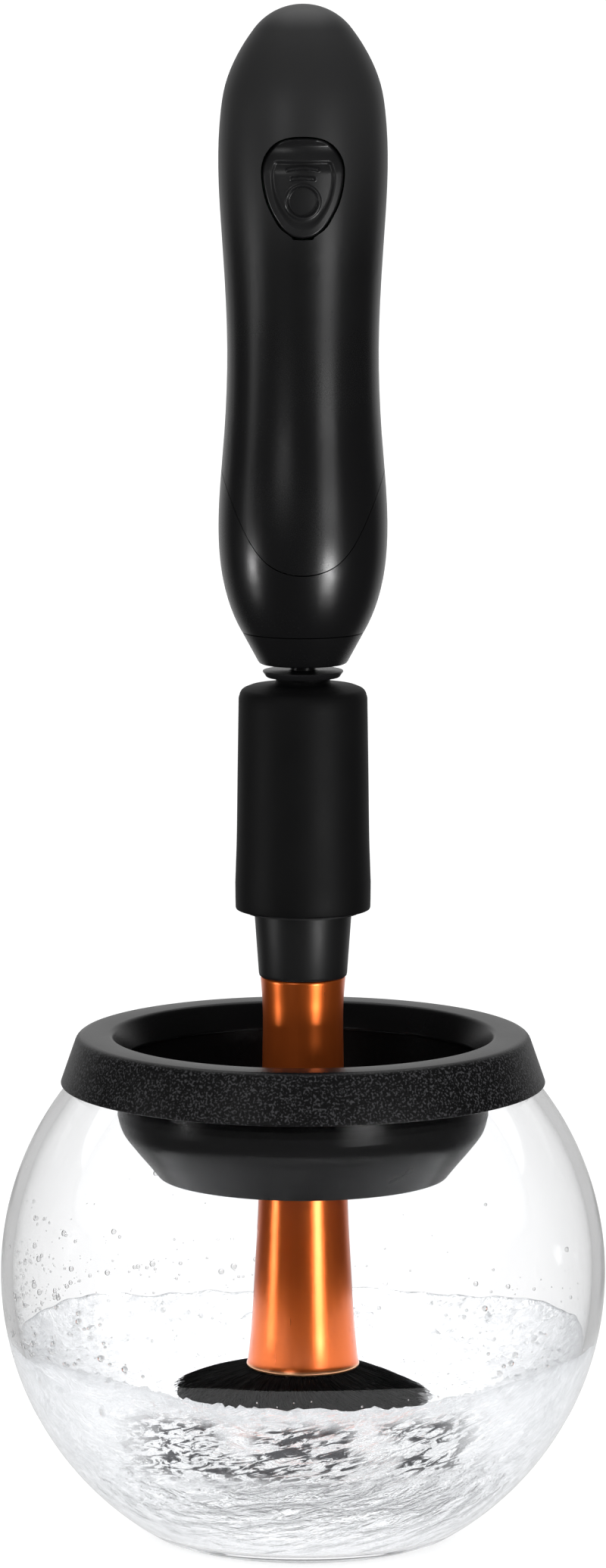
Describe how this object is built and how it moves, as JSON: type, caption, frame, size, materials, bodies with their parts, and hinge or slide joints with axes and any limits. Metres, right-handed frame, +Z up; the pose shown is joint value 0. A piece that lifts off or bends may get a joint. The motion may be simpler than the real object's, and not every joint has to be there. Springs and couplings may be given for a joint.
{
  "type": "make-up brush cleaner",
  "caption": "Battery handset that spins a make-up brush through a rubber collar inside a clear bowl of water, under a splash ring.",
  "frame": {"origin": "middle of the bowl's flat foot, on the surface that it stands on", "axes": "+Z up along the spin axis, -Y towards the face with the power button, +X to the right seen from the front"},
  "size_m": [0.125, 0.125, 0.316],
  "materials": {
    "clear_bowl": "polished clear moulding",
    "ring_plastic": "fine spark grain, satin",
    "handset_soft_black": "soft-touch satin",
    "tray_plastic": "moulded",
    "cell_jacket": "printed jacket, plain",
    "contact_metal": "nickel plated spring strip",
    "board": "solder resist",
    "switch_plastic": "moulded",
    "motor_steel": "drawn steel",
    "motor_plastic": "moulded",
    "bush_brass": "sintered",
    "magnet": "ferrite",
    "seal_rubber": "moulded",
    "screw_steel": "zinc plated",
    "lead_red": "insulation",
    "lead_black": "insulation",
    "button_rubber": "satin rubber",
    "spindle_plastic": "satin acetal",
    "copper_wire": "enamelled copper",
    "collar_black": "semi-matt",
    "collar_rubber": "soft moulded",
    "handle_black": "satin lacquer",
    "ferrule_copper": "copper-orange anodised, drawn",
    "core_glue": "cast epoxy",
    "bristles": "wet synthetic hair"
  },
  "bodies": {
    "bowl": {"bowl": "clear_bowl"},
    "splash_ring": {"splash_ring": "ring_plastic"},
    "handset": {"front_shell": "handset_soft_black", "rear_shell": "handset_soft_black", "nose_cap": "handset_soft_black", "battery_tray": "tray_plastic", "cell_left": "cell_jacket", "cell_right": "cell_jacket", "contact_bridge": "contact_metal", "contact_tabs": "contact_metal", "circuit_board": "board", "switch_body": "switch_plastic", "motor_can": "motor_steel", "motor_end_cap": "motor_plastic", "motor_bushes": "bush_brass", "motor_magnets": "magnet", "motor_brushes": "bush_brass", "motor_cradle": "tray_plastic", "shaft_seal": "seal_rubber", "housing_screws": "screw_steel", "lead_left": "lead_red", "lead_right": "lead_black"},
    "battery_cover": {"battery_cover": "handset_soft_black"},
    "power_button": {"power_button": "button_rubber", "switch_plunger": "switch_plastic"},
    "spindle": {"spindle": "spindle_plastic", "motor_shaft": "screw_steel", "armature_core": "motor_steel", "armature_windings": "copper_wire", "commutator": "bush_brass"},
    "collar": {"collar_shell": "collar_black", "collar_liner": "collar_rubber"},
    "brush": {"brush_handle": "handle_black", "brush_ferrule": "ferrule_copper", "ferrule_core": "core_glue", "bristle_tuft": "bristles"}
  },
  "joints": [
    {"name": "ring_lift", "type": "slide", "parent": "bowl", "child": "splash_ring", "axis": [0, 0, 1], "range_m": [0, 0.045]},
    {"name": "handset_lift", "type": "slide", "parent": "bowl", "child": "handset", "axis": [0, 0, 1], "range_m": [0, 0.15]},
    {"name": "button_press", "type": "slide", "parent": "handset", "child": "power_button", "axis": [0, 1, 0], "range_m": [0, 0.0009], "stiffness_N_per_m": 600, "springref_m": -0.0005},
    {"name": "battery_cover_off", "type": "slide", "parent": "handset", "child": "battery_cover", "axis": [0, 1, 0], "range_m": [0, 0.03]},
    {"name": "spindle_spin", "type": "hinge", "parent": "handset", "child": "spindle", "pos_m": [0, 0, 0.185], "axis": [0, 0, 1], "continuous": true},
    {"name": "collar_pull", "type": "slide", "parent": "spindle", "child": "collar", "axis": [0, 0, -1], "range_m": [0, 0.009]},
    {"name": "brush_pull", "type": "slide", "parent": "collar", "child": "brush", "axis": [0, 0, -1], "range_m": [0, 0.0095]}
  ]
}
